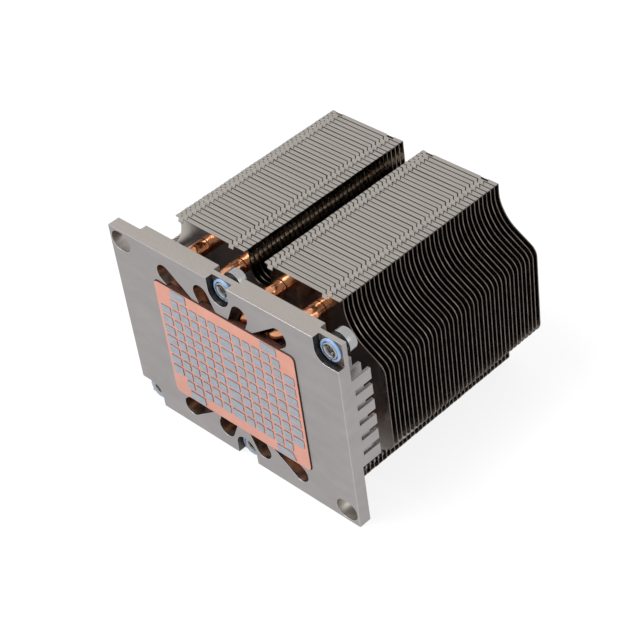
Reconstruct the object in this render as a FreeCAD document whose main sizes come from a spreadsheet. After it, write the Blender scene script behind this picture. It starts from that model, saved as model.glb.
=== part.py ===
"""Passive server CPU heatsink: base plate, copper cold plate, bent heat pipes, zip-fin stack, captive nuts.

Frame, in millimetres: the origin is the middle of the face that meets the processor. +Y runs from that face
into the fins, X is the long side of the base plate, and the heatsink lies on its long edge with +Z up.
"""
import FreeCAD, Part
import math
import os

import Sketcher
from FreeCAD import Vector

SIZES = {
    # Base plate
    "plate_length": 108.0,
    "plate_height": 78.4,
    "plate_thickness": 7.5,
    "ear_length": 11.4,
    "ear_thickness": 4.9,
    "ear_root_radius": 2.0,
    "guide_hole_diameter": 9.0,
    "guide_hole_inset_x": 5.5,
    "guide_hole_inset_z": 4.9,
    # Copper cold plate, let into the front of the base plate
    "copper_length": 67.4,
    "copper_height": 50.4,
    "copper_thickness": 2.5,
    "copper_proud": 0.45,
    "copper_corner_radius": 1.8,
    "copper_gap": 0.3,
    # Printed thermal pads on the cold plate
    "film_thickness": 0.15,
    "cell_width": 3.65,
    "cell_pitch": 4.65,
    "cell_height": 3.65,
    "row_pitch": 4.6,
    "middle_cell_width": 6.2,
    "end_cell_width": 5.1,
    "corner_pad_width": 7.6,
    "corner_pad_height": 3.7,
    "corner_pad_centre": 21.8,
    "corner_pad_gap": 0.9,
    # Heat pipes
    "pipe_diameter": 6.0,
    "inner_base_x": 6.4,
    "outer_base_x": 20.2,
    "inner_leg_x": 9.5,
    "outer_leg_x": 27.5,
    "leg_z": 30.0,
    "base_run_half": 21.0,
    "bend_radius": 8.5,
    "pipe_tip": 2.0,
    "channel_clearance": 0.1,
    "window_width": 7.5,
    # Fin stack
    "fin_sheet": 0.4,
    "fin_pitch": 2.05,
    "fin_standoff": 11.6,
    "fin_half_height": 39.0,
    "fin_top_half": 38.8,
    "fin_full_half": 54.4,
    "flange_gap": 0.15,
    "notch_width": 9.5,
    "notch_depth": 13.0,
    "notch_corner": 3.0,
    "shoulder_z": 35.0,
    "shoulder_radius": 14.0,
    "shoulder_slope": 32.0,
    "hole_clearance": 0.02,
    # Pin comb machined on each end of the plate
    "comb_top": 22.4,
    "comb_height": 8.6,
    "comb_floor": 1.2,
    "blade_thickness": 1.2,
    "blade_pitch": 4.2,
    "tooth_length": 4.8,
    "tooth_pitch": 6.5,
    # Captive nuts
    "nut_z": 34.8,
    "corner_nut_inset": 5.0,
    "pocket_depth": 3.0,
    "pocket_radius": 4.9,
    "relief_radius": 6.2,
    "shank_diameter": 7.0,
    "shank_clearance": 0.25,
    "head_diameter": 8.6,
    "head_length": 3.9,
    "spring_length": 2.0,
    "spring_wall": 0.5,
    "spring_clearance": 0.15,
    "ring_width": 1.1,
    "ring_diameter": 8.6,
    "ring_clearance": 0.05,
    "nose_length": 0.5,
    "thread_bore": 3.3,
    "thread_depth": 5.0,
    "socket_across": 5.6,
    "socket_depth": 2.4,
}

FIN_COUNT = 38
BLADES = 3
TEETH = 6
CELLS_EACH_SIDE = 5
CELL_ROWS = 9
END_CELL_ROWS = 7
# Round stretches of the thin fins, pipes and small fasteners are drawn with flats, to keep the stack light.
SHOULDER_FLATS = 2
INNER_HOLE_SIDES = 3
END_HOLE_SIDES = 8
PIPE_SIDES = 10
BEND_FLATS = 2
WINDOW_FLATS = 4
FASTENER_SIDES = 10
SOCKET_LOBES = 6

doc = FreeCAD.newDocument("cpu_heatsink")
sheet = doc.addObject("Spreadsheet::Sheet", "Sizes")
for row, (name, number) in enumerate(SIZES.items(), start=1):
    sheet.set(f"A{row}", name)
    sheet.set(f"B{row}", str(number))
    sheet.setAlias(f"B{row}", name)
doc.recompute()

# Stations along Y, as formulas in the sheet's names.
COPPER_BACK = "(film_thickness + copper_thickness)"
PLATE_FRONT = "(film_thickness + copper_proud)"
PLATE_BACK = f"({PLATE_FRONT} + plate_thickness)"
EAR_BACK = f"({PLATE_FRONT} + ear_thickness)"
TAB_FRONT = f"({PLATE_FRONT} + pocket_depth)"
FIRST_FIN = f"({PLATE_BACK} + fin_standoff)"
LAST_FIN = f"({FIRST_FIN} + {FIN_COUNT - 1} * fin_pitch)"
PIPE_AXIS = f"({COPPER_BACK} + pipe_diameter / 2)"
END_X = "(plate_length / 2)"
EDGE_Z = "(plate_height / 2)"
CORNER_NUT_X = f"({END_X} - corner_nut_inset)"


def linked(formula):
    """A formula in cell names, written as other objects refer to the sheet."""
    for name in sorted(SIZES, key=len, reverse=True):
        formula = formula.replace(name, f"@{list(SIZES).index(name)};")
    for index, name in enumerate(SIZES):
        formula = formula.replace(f"@{index};", f"Sizes.{name}")
    return formula


def mm(formula):
    """A formula in cell names, worked out by the sheet."""
    result = sheet.evalExpression(formula)
    return float(getattr(result, "Value", result))


def bind(thing, prop, formula):
    """Ties a property to a formula in the sheet's names."""
    thing.setExpression(prop, linked(formula))


# --- PartDesign helpers --------------------------------------------------------------------------------------


def new_body(name):
    """An empty body whose Label names its file."""
    made = doc.addObject("PartDesign::Body", name)
    made.Label = name
    return made


def facing_sketch(body, name, y_formula):
    """A sketch parallel to the contact face at that Y: its axes are X and Z, and its normal points to -Y."""
    made = body.newObject("Sketcher::SketchObject", name)
    plane = next(f for f in body.Origin.OriginFeatures if f.Role == "XZ_Plane")
    made.AttachmentSupport = [(plane, "")]
    made.MapMode = "FlatFace"
    bind(made, "AttachmentOffset.Base.z", f"-({y_formula})")
    return made


def place_vertex(sketch, geometry, end, x_formula, z_formula):
    """Holds one vertex at formulas for X and Z."""
    for kind, formula in (("DistanceX", x_formula), ("DistanceY", z_formula)):
        index = sketch.addConstraint(Sketcher.Constraint(kind, -1, 1, geometry, end, mm(formula)))
        sketch.setExpression(f"Constraints[{index}]", linked(formula))


def draw_polygon(sketch, corners):
    """A closed outline of straight lines through corners given as (X formula, Z formula)."""
    points = [Vector(mm(x), mm(z), 0) for x, z in corners]
    lines = []
    for start, finish in zip(points, points[1:] + points[:1]):
        lines.append(sketch.addGeometry(Part.LineSegment(start, finish), False))
    for line, after in zip(lines, lines[1:] + lines[:1]):
        sketch.addConstraint(Sketcher.Constraint("Coincident", line, 2, after, 1))
    for line, (x, z) in zip(lines, corners):
        place_vertex(sketch, line, 1, x, z)


def draw_rectangle(sketch, x0, x1, z0, z1):
    """A rectangle between formulas."""
    draw_polygon(sketch, [(x0, z0), (x1, z0), (x1, z1), (x0, z1)])


def draw_circle(sketch, x, z, diameter):
    """A circle held at its centre and diameter."""
    middle = Vector(mm(x), mm(z), 0)
    ring = sketch.addGeometry(Part.Circle(middle, Vector(0, 0, 1), mm(diameter) / 2), False)
    place_vertex(sketch, ring, 3, x, z)
    index = sketch.addConstraint(Sketcher.Constraint("Diameter", ring, mm(diameter)))
    sketch.setExpression(f"Constraints[{index}]", linked(diameter))


def draw_flats(sketch, x, z, across, sides=FASTENER_SIDES):
    """A many-sided outline round a circle, touching it with its flats."""
    radius = f"({across}) / 2 / cos({180 / sides}deg)"
    corners = []
    for index in range(sides):
        angle = f"{(360 * index + 180) / sides}deg"
        corners.append((f"{x} + {radius} * cos({angle})", f"{z} + {radius} * sin({angle})"))
    draw_polygon(sketch, corners)


def pad(body, sketch, length):
    """Pads a sketch towards +Y."""
    made = body.newObject("PartDesign::Pad", f"{sketch.Name}_pad")
    made.Profile = sketch
    made.Reversed = True
    bind(made, "Length", length)
    doc.recompute()
    return made


def pocket(body, sketch, depth=None, towards_front=False):
    """Cuts a sketch into the body towards +Y, or towards the contact face; right through if no depth is given."""
    before = body.Shape.Volume
    made = body.newObject("PartDesign::Pocket", f"{sketch.Name}_pocket")
    made.Profile = sketch
    made.Reversed = towards_front
    if depth is None:
        made.Type = "ThroughAll"
        made.Midplane = True
    else:
        bind(made, "Length", depth)
    doc.recompute()
    if body.Shape.Volume > before - 1e-3:
        raise RuntimeError(f"{made.Name} cuts nothing")
    return made


def edge_names(shape, wanted):
    """Names of the edges that a test picks out."""
    return [f"Edge{i}" for i, edge in enumerate(shape.Edges, start=1) if wanted(edge)]


def runs_along_y(edge):
    """True for a straight edge square to the contact face."""
    if edge.Curve.TypeId != "Part::GeomLine":
        return False
    return abs(abs(edge.Curve.Direction.y) - 1) < 1e-6


def fillet(body, tip, names, radius):
    """Rounds named edges of the tip."""
    made = body.newObject("PartDesign::Fillet", f"{tip.Name}_fillet")
    made.Base = (tip, names)
    bind(made, "Radius", radius)
    doc.recompute()
    return made


# --- Base plate ------------------------------------------------------------------------------------------------


def plate_blank(body):
    """The machined blank: thick between the ears, thin at both ends, with rounded roots at the back."""
    full = facing_sketch(body, "plate_outline", PLATE_FRONT)
    draw_rectangle(full, f"-{END_X}", END_X, f"-{EDGE_Z}", EDGE_Z)
    pad(body, full, "ear_thickness")
    middle = facing_sketch(body, "thick_middle", EAR_BACK)
    inner_x = f"({END_X} - ear_length)"
    draw_rectangle(middle, f"-{inner_x}", inner_x, f"-{EDGE_Z}", EDGE_Z)
    block = pad(body, middle, "plate_thickness - ear_thickness")
    root_y = mm(EAR_BACK)
    root_x = mm(inner_x)

    def is_root(edge):
        box = edge.BoundBox
        flat = box.YLength < 1e-6 and abs(box.YMax - root_y) < 1e-6
        return flat and box.XLength < 1e-6 and abs(abs(box.XMax) - root_x) < 1e-6

    fillet(body, block, edge_names(block.Shape, is_root), "min(ear_root_radius; 0.8 * ear_length)")


def pipe_ends():
    """(signs, base X, leg X) of the eight places where a heat pipe leaves the plate."""
    places = []
    for x_sign in ("-1", "1"):
        for z_sign in ("-1", "1"):
            places.append((x_sign, z_sign, "inner_base_x", "inner_leg_x"))
            places.append((x_sign, z_sign, "outer_base_x", "outer_leg_x"))
    return places


def window_outline(x_sign, z_sign, base, leg):
    """A slanted slot along the end of a pipe's base run: square where the run joins it, round under the leg."""
    slant = f"sqrt(({leg} - {base})^2 + (leg_z - base_run_half)^2)"
    along_x = f"(({leg} - {base}) / {slant})"
    along_z = f"((leg_z - base_run_half) / {slant})"
    corners = []
    for side in ("-1", "1"):
        x = f"({base} - pipe_diameter / 2 * {along_x} + {side} * window_width / 2 * {along_z})"
        z = f"(base_run_half - pipe_diameter / 2 * {along_z} - {side} * window_width / 2 * {along_x})"
        corners.append((f"{x_sign} * {x}", f"{z_sign} * {z}"))
    for index in range(WINDOW_FLATS + 1):
        angle = f"{180 * index / WINDOW_FLATS}deg"
        x = f"({leg} + window_width / 2 * (cos({angle}) * {along_z} + sin({angle}) * {along_x}))"
        z = f"(leg_z + window_width / 2 * (sin({angle}) * {along_z} - cos({angle}) * {along_x}))"
        corners.append((f"{x_sign} * {x}", f"{z_sign} * {z}"))
    return corners


def cut_pipe_windows(body):
    """Slanted slots in which the pipes turn away from the plate, joined by channels for their base runs."""
    slots = facing_sketch(body, "pipe_windows", PLATE_FRONT)
    for x_sign, z_sign, base, leg in pipe_ends():
        draw_polygon(slots, window_outline(x_sign, z_sign, base, leg))
    pocket(body, slots)
    channels = facing_sketch(body, "pipe_channels", PLATE_FRONT)
    half = "(pipe_diameter / 2 + channel_clearance)"
    for x_sign in ("-1", "1"):
        for base in ("inner_base_x", "outer_base_x"):
            middle = f"{x_sign} * {base}"
            draw_rectangle(channels, f"{middle} - {half}", f"{middle} + {half}", "-base_run_half", "base_run_half")
    pocket(body, channels)


def cut_copper_seat(body):
    """The shallow seat that takes the cold plate, with its corners rounded to match."""
    seat = facing_sketch(body, "copper_seat", PLATE_FRONT)
    half_x = "(copper_length / 2 + copper_gap)"
    half_z = "(copper_height / 2 + copper_gap)"
    draw_rectangle(seat, f"-{half_x}", half_x, f"-{half_z}", half_z)
    made = pocket(body, seat, "copper_thickness - copper_proud")
    corner = Vector(mm(half_x), 0, mm(half_z))

    def is_corner(edge):
        middle = edge.BoundBox.Center
        near = abs(abs(middle.x) - corner.x) < 1e-4 and abs(abs(middle.z) - corner.z) < 1e-4
        return near and runs_along_y(edge)

    fillet(body, made, edge_names(made.Shape, is_corner), "copper_corner_radius + copper_gap")


def nut_places():
    """(name, X formula, Z formula) of the four captive nuts; half a turn about Y carries the set onto itself."""
    return [
        ("top_middle", "0", "nut_z"),
        ("top_corner", CORNER_NUT_X, "nut_z"),
        ("bottom_middle", "0", "-nut_z"),
        ("bottom_corner", f"-{CORNER_NUT_X}", "-nut_z"),
    ]


def cut_nut_seats(body):
    """Front pockets, back reliefs and shank holes that leave a thin tab for each nut."""
    beyond_x = f"({END_X} + 1)"
    beyond_z = f"({EDGE_Z} + 1)"
    rounds = facing_sketch(body, "pocket_rounds", PLATE_FRONT)
    mouths = facing_sketch(body, "pocket_mouths", PLATE_FRONT)
    for label, x, z in nut_places():
        draw_flats(rounds, x, z, "2 * pocket_radius")
    for turn in ("1", "-1"):
        draw_rectangle(mouths, "-pocket_radius", "pocket_radius", f"{turn} * nut_z", f"{turn} * {beyond_z}")
        draw_polygon(
            mouths,
            [
                (f"{turn} * {CORNER_NUT_X}", f"{turn} * (nut_z - pocket_radius)"),
                (f"{turn} * {beyond_x}", f"{turn} * (nut_z - pocket_radius)"),
                (f"{turn} * {beyond_x}", f"{turn} * {beyond_z}"),
                (f"{turn} * ({CORNER_NUT_X} - pocket_radius)", f"{turn} * {beyond_z}"),
                (f"{turn} * ({CORNER_NUT_X} - pocket_radius)", f"{turn} * nut_z"),
                (f"{turn} * {CORNER_NUT_X}", f"{turn} * nut_z"),
            ],
        )
    pocket(body, rounds, "pocket_depth")
    pocket(body, mouths, "pocket_depth")

    back_rounds = facing_sketch(body, "relief_rounds", PLATE_BACK)
    back_mouths = facing_sketch(body, "relief_mouths", PLATE_BACK)
    for turn in ("1", "-1"):
        draw_flats(back_rounds, "0", f"{turn} * nut_z", "2 * relief_radius")
        draw_rectangle(back_mouths, "-relief_radius", "relief_radius", f"{turn} * nut_z", f"{turn} * {beyond_z}")
    pocket(body, back_rounds, "plate_thickness - ear_thickness", towards_front=True)
    pocket(body, back_mouths, "plate_thickness - ear_thickness", towards_front=True)

    shanks = facing_sketch(body, "shank_holes", PLATE_FRONT)
    for label, x, z in nut_places():
        draw_flats(shanks, x, z, "shank_diameter + 2 * shank_clearance")
    pocket(body, shanks)


def cut_guide_holes(body):
    """The two holes that drop over the socket's guide posts, in the corners that have no nut."""
    holes = facing_sketch(body, "guide_holes", PLATE_FRONT)
    x = f"({END_X} - guide_hole_inset_x)"
    z = f"({EDGE_Z} - guide_hole_inset_z)"
    draw_circle(holes, f"-{x}", z, "guide_hole_diameter")
    draw_circle(holes, x, f"-{z}", "guide_hole_diameter")
    pocket(body, holes)


def add_combs(body):
    """Thin blades at both ends of the back, cut across into teeth; the outer blade is flush with the end face."""
    blades = facing_sketch(body, "comb_blades", EAR_BACK)
    gaps = facing_sketch(body, "comb_gaps", f"({EAR_BACK} + comb_height)")
    length = f"({TEETH - 1} * tooth_pitch + tooth_length)"
    for turn in ("1", "-1"):
        for index in range(BLADES):
            outer = f"{turn} * ({END_X} - {index} * blade_pitch)"
            inner = f"{turn} * ({END_X} - {index} * blade_pitch - blade_thickness)"
            draw_rectangle(blades, outer, inner, f"{turn} * comb_top", f"{turn} * (comb_top - {length})")
        for index in range(TEETH - 1):
            start = f"(comb_top - tooth_length - {index} * tooth_pitch)"
            finish = f"(comb_top - {index + 1} * tooth_pitch)"
            reach = f"({END_X} - {BLADES} * blade_pitch)"
            draw_rectangle(
                gaps, f"{turn} * ({END_X} + 1)", f"{turn} * {reach}", f"{turn} * {start}", f"{turn} * {finish}"
            )
    pad(body, blades, "comb_height")
    pocket(body, gaps, "comb_height - comb_floor", towards_front=True)


def base_plate():
    """The machined aluminium plate that carries everything."""
    body = new_body("base_plate")
    plate_blank(body)
    cut_pipe_windows(body)
    cut_copper_seat(body)
    cut_nut_seats(body)
    cut_guide_holes(body)
    add_combs(body)
    return body


# --- Cold plate and its thermal pads -----------------------------------------------------------------------------


def cold_plate():
    """The copper plate that meets the processor."""
    body = new_body("cold_plate")
    outline = facing_sketch(body, "copper_outline", "film_thickness")
    draw_rectangle(outline, "-copper_length / 2", "copper_length / 2", "-copper_height / 2", "copper_height / 2")
    slab = pad(body, outline, "copper_thickness")
    fillet(body, slab, edge_names(slab.Shape, runs_along_y), "copper_corner_radius")
    return body


def pad_cell(name, x, z, width, height):
    """One printed rectangle of phase-change film, centred at formulas for X and Z."""
    made = doc.addObject("Part::Box", name)
    bind(made, "Length", width)
    bind(made, "Width", "film_thickness")
    bind(made, "Height", height)
    bind(made, "Placement.Base.x", f"{x} - {width} / 2")
    bind(made, "Placement.Base.z", f"{z} - {height} / 2")
    return made


def thermal_pads():
    """The printed grid: a wide middle column, five columns each side, wide end columns, and four corner pads."""
    cells = []
    first = "(middle_cell_width / 2 + cell_pitch - cell_width / 2)"
    last = f"({first} + {CELLS_EACH_SIDE - 1} * cell_pitch)"
    end = f"({last} + cell_pitch - cell_width / 2 + end_cell_width / 2)"
    for row in range(CELL_ROWS):
        step = row - (CELL_ROWS - 1) // 2
        z = f"({step} * row_pitch)"
        cells.append(pad_cell(f"cell_{row}_middle", "0", z, "middle_cell_width", "cell_height"))
        for side, sign in (("left", "-1"), ("right", "1")):
            for column in range(CELLS_EACH_SIDE):
                x = f"{sign} * ({first} + {column} * cell_pitch)"
                cells.append(pad_cell(f"cell_{row}_{side}_{column}", x, z, "cell_width", "cell_height"))
            if abs(step) <= (END_CELL_ROWS - 1) // 2:
                x = f"{sign} * {end}"
                cells.append(pad_cell(f"cell_{row}_{side}_end", x, z, "end_cell_width", "cell_height"))
    half_rows = f"({(CELL_ROWS - 1) // 2} * row_pitch + cell_height / 2)"
    corner_z = f"({half_rows} + corner_pad_gap + corner_pad_height / 2)"
    for x_side, x_sign in (("left", "-1"), ("right", "1")):
        for z_side, z_sign in (("low", "-1"), ("high", "1")):
            x = f"{x_sign} * corner_pad_centre"
            z = f"{z_sign} * {corner_z}"
            cells.append(pad_cell(f"corner_{x_side}_{z_side}", x, z, "corner_pad_width", "corner_pad_height"))
    made = doc.addObject("Part::Compound", "thermal_pads")
    made.Links = cells
    made.Label = "thermal_pads"
    return made


# --- Heat pipes ----------------------------------------------------------------------------------------------------


def regular_polygon(middle, across_corners, sides, normal, start):
    """A closed wire inside a circle, with its corners on it; its first flat faces `start`."""
    radius = across_corners / 2
    points = []
    for index in range(sides + 1):
        turn = FreeCAD.Rotation(normal, 180 / sides + 360 * index / sides)
        points.append(middle + turn.multVec(start) * radius)
    return Part.makePolygon(points)


def pipe_route(base_x, leg_x, z_sign):
    """Half of a pipe's centre line: from the middle of its base run, through the slant and bend, up its leg."""
    y = mm(PIPE_AXIS)
    root = Vector(base_x, y, z_sign * mm("base_run_half"))
    foot = Vector(leg_x, y, z_sign * mm("leg_z"))
    slant = (foot - root).normalize()
    radius = mm("bend_radius")
    route = [root]
    for index in range(BEND_FLATS + 1):
        angle = math.radians(90) * index / BEND_FLATS
        along = slant * (radius * math.sin(angle) - radius)
        route.append(foot + along + Vector(0, radius * (1 - math.cos(angle)), 0))
    tip = mm(f"{LAST_FIN} + fin_sheet + pipe_tip")
    route.append(Vector(leg_x, tip, foot.z))
    return route


def heat_pipe(name, base_x, leg_x):
    """A copper pipe bent into a U: across the plate behind the cold plate, then up through the fins at both ends."""
    low = pipe_route(base_x, leg_x, -1)
    high = pipe_route(base_x, leg_x, 1)
    spine = Part.makePolygon(list(reversed(low)) + high)
    # The section is set up at the tip of the lower leg, where the pipe is square to the fins.
    profile = regular_polygon(low[-1], mm("pipe_diameter"), PIPE_SIDES, Vector(0, 1, 0), Vector(1, 0, 0))
    sweep = Part.BRepOffsetAPI.MakePipeShell(spine)
    sweep.add(profile)
    sweep.setTransitionMode(1)
    sweep.build()
    sweep.makeSolid()
    made = doc.addObject("Part::Feature", name)
    made.Shape = Part.Solid(sweep.shape())
    made.Label = name
    return made


# --- Fin stack -----------------------------------------------------------------------------------------------------


def shoulder(x_sign, z_sign):
    """One corner of a fin: the hollow shoulder below the end of its flange, then the slope to its full width."""
    radius = mm("shoulder_radius")
    slope = math.radians(mm("shoulder_slope"))
    middle = Vector(mm("fin_top_half") + radius, 0, mm("shoulder_z"))
    points = []
    for index in range(1, SHOULDER_FLATS + 1):
        angle = math.pi + (math.pi / 2 - slope) * index / SHOULDER_FLATS
        points.append(middle + Vector(math.cos(angle), 0, math.sin(angle)) * radius)
    across = mm("fin_full_half") - points[-1].x
    points.append(points[-1] + Vector(across, 0, -across * math.tan(slope)))
    return [Vector(x_sign * p.x, 0, z_sign * p.z) for p in points]


def notch(z_sign):
    """The driver notch in the middle of a long edge, from +X to -X."""
    half = mm("notch_width") / 2
    top = mm("fin_half_height")
    bottom = top - mm("notch_depth")
    corner = mm("notch_corner")
    points = [(half, top), (half, bottom + corner), (half - corner, bottom)]
    points += [(-x, z) for x, z in reversed(points)]
    return [Vector(x, 0, z_sign * z) for x, z in points]


def fin_shape(hole_sides):
    """A stamped fin with its four folded flanges, its sheet's front face at Y = 0."""
    top = mm("fin_half_height")
    top_half = mm("fin_top_half")
    sheet_thickness = mm("fin_sheet")
    outline = shoulder(1, 1) + list(reversed(shoulder(1, -1)))
    outline += [Vector(top_half, 0, -top)] + notch(-1) + [Vector(-top_half, 0, -top)]
    outline += shoulder(-1, -1) + list(reversed(shoulder(-1, 1)))
    outline += [Vector(-top_half, 0, top)] + list(reversed(notch(1))) + [Vector(top_half, 0, top)]
    blank = Part.Face(Part.makePolygon(outline + outline[:1])).extrude(Vector(0, sheet_thickness, 0))
    across = mm("pipe_diameter + 2 * hole_clearance") / math.cos(math.pi / hole_sides)
    tools = []
    for x_sign, z_sign, base, leg in pipe_ends():
        middle = Vector(mm(f"{x_sign} * {leg}"), -1, mm(f"{z_sign} * leg_z"))
        # A flat faces the driver notch, so that no corner of a three-sided hole comes near it.
        ring = regular_polygon(middle, across, hole_sides, Vector(0, 1, 0), Vector(-float(x_sign), 0, 0))
        tools.append(Part.Face(ring).extrude(Vector(0, sheet_thickness + 2, 0)))
    blank = blank.cut(Part.makeCompound(tools))
    reach = mm("fin_pitch - fin_sheet - flange_gap") + sheet_thickness
    half_notch = mm("notch_width / 2")
    flanges = []
    for x0 in (-top_half, half_notch):
        for z0 in (-top, top - sheet_thickness):
            corner = Vector(x0, sheet_thickness - reach, z0)
            flanges.append(Part.makeBox(top_half - half_notch, reach, sheet_thickness, corner))
    return blank.multiFuse(flanges).removeSplitter().Solids[0]


def fins():
    """The stack: like fins at one pitch, each fin's flanges reaching towards the base plate."""
    inner = fin_shape(INNER_HOLE_SIDES)
    outer = fin_shape(END_HOLE_SIDES)
    made = []
    for index in range(FIN_COUNT):
        fin = doc.addObject("Part::Feature", f"fin_{index + 1:02d}")
        fin.Shape = outer if index in (0, FIN_COUNT - 1) else inner
        bind(fin, "Placement.Base.y", f"{FIRST_FIN} + {index} * fin_pitch")
        fin.Label = fin.Name
        made.append(fin)
    return made


# --- Captive nuts ----------------------------------------------------------------------------------------------------


def prism(name, x, z, start, length, diameter, sides=FASTENER_SIDES, hollow=False):
    """A many-sided bar along +Y with its corners on that diameter, or with its flats on it to cut a hollow."""
    made = doc.addObject("Part::Prism", name)
    made.Polygon = sides
    radius = f"({diameter}) / 2 / cos(180deg / {sides})" if hollow else f"({diameter}) / 2"
    bind(made, "Circumradius", radius)
    bind(made, "Height", length)
    made.Placement.Rotation = FreeCAD.Rotation(Vector(1, 0, 0), -90)
    bind(made, "Placement.Base.x", x)
    bind(made, "Placement.Base.y", start)
    bind(made, "Placement.Base.z", z)
    return made


def cut(name, base, tool):
    """A boolean cut."""
    made = doc.addObject("Part::Cut", name)
    made.Base = base
    made.Tool = tool
    return made


HEAD_START = f"({EAR_BACK} + spring_length)"
HEAD_END = f"({HEAD_START} + head_length)"
RING_START = f"({TAB_FRONT} - ring_width)"
NOSE_START = f"({RING_START} - nose_length)"


def captive_nut(label, x, z):
    """Turned steel nut: a head behind the tab, a shank through it, a threaded mouth and a six-lobe socket."""
    head = prism(f"{label}_head", x, z, HEAD_START, "head_length", "head_diameter")
    shank = prism(f"{label}_shank", x, z, NOSE_START, f"{HEAD_START} - {NOSE_START}", "shank_diameter")
    turned = doc.addObject("Part::Fuse", f"{label}_turned")
    turned.Base = head
    turned.Tool = shank
    bore = doc.addObject("Part::Cylinder", f"{label}_bore")
    bind(bore, "Radius", "thread_bore / 2")
    bind(bore, "Height", "thread_depth")
    bore.Placement.Rotation = FreeCAD.Rotation(Vector(1, 0, 0), -90)
    bind(bore, "Placement.Base.x", x)
    bind(bore, "Placement.Base.y", NOSE_START)
    bind(bore, "Placement.Base.z", z)
    drilled = cut(f"{label}_drilled", turned, bore)
    socket_start = f"{HEAD_END} - socket_depth"
    lobe = prism(f"{label}_lobes", x, z, socket_start, "socket_depth", "socket_across", SOCKET_LOBES, hollow=True)
    made = cut(f"{label}_nut", drilled, lobe)
    made.Label = f"{label}_nut"
    return made


def sleeve(name, x, z, start, length, outer, inner):
    """A plain ring round the shank."""
    outside = prism(f"{name}_outside", x, z, start, length, outer)
    inside = prism(f"{name}_inside", x, z, start, length, inner, hollow=True)
    made = cut(name, outside, inside)
    made.Label = name
    return made


def fasteners():
    """Each captive nut with the spring under its head and the ring that keeps it on its tab."""
    made = []
    for label, x, z in nut_places():
        made.append(captive_nut(label, x, z))
        inner = "shank_diameter + 2 * spring_clearance"
        outer = f"{inner} + 2 * spring_wall"
        made.append(sleeve(f"{label}_spring", x, z, EAR_BACK, "spring_length", outer, inner))
        inner = "shank_diameter + 2 * ring_clearance"
        made.append(sleeve(f"{label}_ring", x, z, RING_START, "ring_width", "ring_diameter", inner))
    return made


# --- Build, check and write ------------------------------------------------------------------------------------------

pipes = {
    "heat_pipe_1": ("-outer_base_x", "-outer_leg_x"),
    "heat_pipe_2": ("-inner_base_x", "-inner_leg_x"),
    "heat_pipe_3": ("inner_base_x", "inner_leg_x"),
    "heat_pipe_4": ("outer_base_x", "outer_leg_x"),
}
parts = [base_plate(), cold_plate(), thermal_pads()]
for pipe_name, (base_formula, leg_formula) in pipes.items():
    parts.append(heat_pipe(pipe_name, mm(base_formula), mm(leg_formula)))
parts += fins()
parts += fasteners()
doc.recompute()

for thing in doc.Objects:
    if "Invalid" in thing.State or "Error" in thing.State:
        raise RuntimeError(f"{thing.Name} failed: {thing.State}")
os.makedirs("parts", exist_ok=True)
for part in parts:
    if part.Shape.isNull() or not part.Shape.isValid():
        raise RuntimeError(f"{part.Label} has no valid shape")
for part in parts:
    part.Shape.exportStep(f"parts/{part.Label}.step")
print(f"{len(parts)} nodes written")
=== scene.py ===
# %% [markdown]
# # A passive server heatsink
#
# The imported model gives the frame: every solid of the heatsink, in metres, in its real place. This lesson
# dresses that frame. Each piece of sheet, copper and steel is modelled again with the details that a fine
# view shows, and then gets its own finish. The whole object lies on the long edge of its base plate, with
# the fins behind.

# %% Load the frame
import math
import random

import bmesh
import bpy
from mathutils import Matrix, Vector


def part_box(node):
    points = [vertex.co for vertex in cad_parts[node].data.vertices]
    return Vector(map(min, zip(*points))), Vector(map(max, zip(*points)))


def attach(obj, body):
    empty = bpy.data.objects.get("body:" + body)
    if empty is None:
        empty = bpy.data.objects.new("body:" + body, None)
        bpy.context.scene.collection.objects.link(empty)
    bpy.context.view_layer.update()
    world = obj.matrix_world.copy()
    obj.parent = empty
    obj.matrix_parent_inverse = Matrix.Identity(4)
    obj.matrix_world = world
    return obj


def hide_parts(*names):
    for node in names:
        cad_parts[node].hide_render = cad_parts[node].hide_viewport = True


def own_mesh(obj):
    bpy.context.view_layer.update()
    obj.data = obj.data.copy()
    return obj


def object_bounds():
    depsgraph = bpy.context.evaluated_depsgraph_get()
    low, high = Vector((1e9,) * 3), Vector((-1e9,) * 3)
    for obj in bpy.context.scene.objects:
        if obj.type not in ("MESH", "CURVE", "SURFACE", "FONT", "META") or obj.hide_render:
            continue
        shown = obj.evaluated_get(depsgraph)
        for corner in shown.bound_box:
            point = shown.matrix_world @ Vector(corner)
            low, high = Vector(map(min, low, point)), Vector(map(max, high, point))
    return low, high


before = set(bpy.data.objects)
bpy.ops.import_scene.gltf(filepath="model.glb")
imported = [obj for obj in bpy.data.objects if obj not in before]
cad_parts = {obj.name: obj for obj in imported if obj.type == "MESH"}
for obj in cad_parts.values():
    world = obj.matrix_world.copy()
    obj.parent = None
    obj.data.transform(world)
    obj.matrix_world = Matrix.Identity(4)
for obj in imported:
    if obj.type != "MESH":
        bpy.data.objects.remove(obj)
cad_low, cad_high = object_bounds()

MM = 0.001
print("frame box in mm:", [round(v / MM, 1) for v in (*cad_low, *cad_high)])

# %% [markdown]
# ## Working by selection
#
# Everything below is done as by hand: add a primitive, select some of it, press a tool. With no window to
# click in, a face or an edge is selected by where it lies. These few helpers say that once.

# %% Selection helpers


def only(*objects):
    """Leaves just these objects selected, the first one active."""
    if bpy.context.object and bpy.context.object.mode != "OBJECT":
        bpy.ops.object.mode_set(mode="OBJECT")
    bpy.ops.object.select_all(action="DESELECT")
    for thing in objects:
        thing.select_set(True)
    bpy.context.view_layer.objects.active = objects[0]


def edit(thing, kind="FACE"):
    """Opens one object in edit mode with nothing selected."""
    only(thing)
    bpy.ops.object.mode_set(mode="EDIT")
    bpy.ops.mesh.select_mode(type=kind)
    bpy.ops.mesh.select_all(action="DESELECT")


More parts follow.
